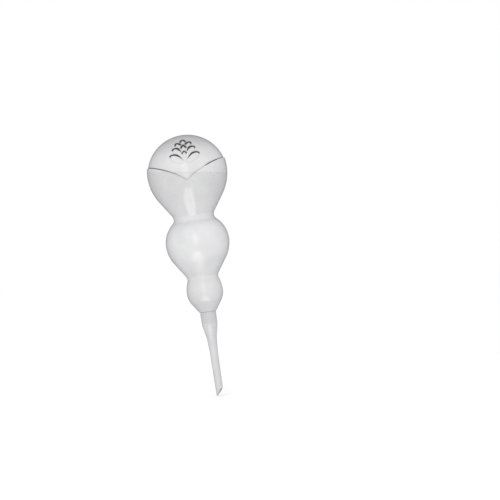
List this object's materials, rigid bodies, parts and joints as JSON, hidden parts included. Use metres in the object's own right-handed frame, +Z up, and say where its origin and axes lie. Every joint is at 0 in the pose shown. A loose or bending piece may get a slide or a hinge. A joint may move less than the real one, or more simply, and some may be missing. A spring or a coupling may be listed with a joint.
{
  "type": "watering globe",
  "caption": "Translucent three-lobed watering globe with a moulded flower relief and a threaded neck, screwed into a hollow soil spike with a slanted tip.",
  "frame": {"origin": "on the axis at the soil line, where the globe's base meets the rim of the spike's socket", "axes": "+Z up along the globe's and spike's common axis, -Y to the front that carries the flower relief, +X to the right"},
  "size_m": [0.0798, 0.0792, 0.263],
  "materials": {
    "bulb_plastic": "milky translucent blow-moulded plastic, smooth and glossy",
    "spike_plastic": "milky translucent injection-moulded plastic, satin to glossy",
    "silicone": "soft matte grey-white silicone"
  },
  "bodies": {
    "spike": {"spike": "spike_plastic"},
    "seal": {"seal_washer": "silicone"},
    "globe": {"globe_body": "bulb_plastic"}
  },
  "joints": [
    {"name": "globe_turn", "type": "hinge", "parent": "spike", "child": "seal", "pos_m": [0, 0, -0.01105], "axis": [0, 0, 1], "range_deg": [0, 1080]},
    {"name": "globe_lift", "type": "slide", "parent": "seal", "child": "globe", "axis": [0, 0, 1], "range_m": [0, 0.00901]}
  ],
  "couplings": [
    {"joint": "globe_lift", "follows": "globe_turn", "m_per_rad": 0.00047746}
  ]
}
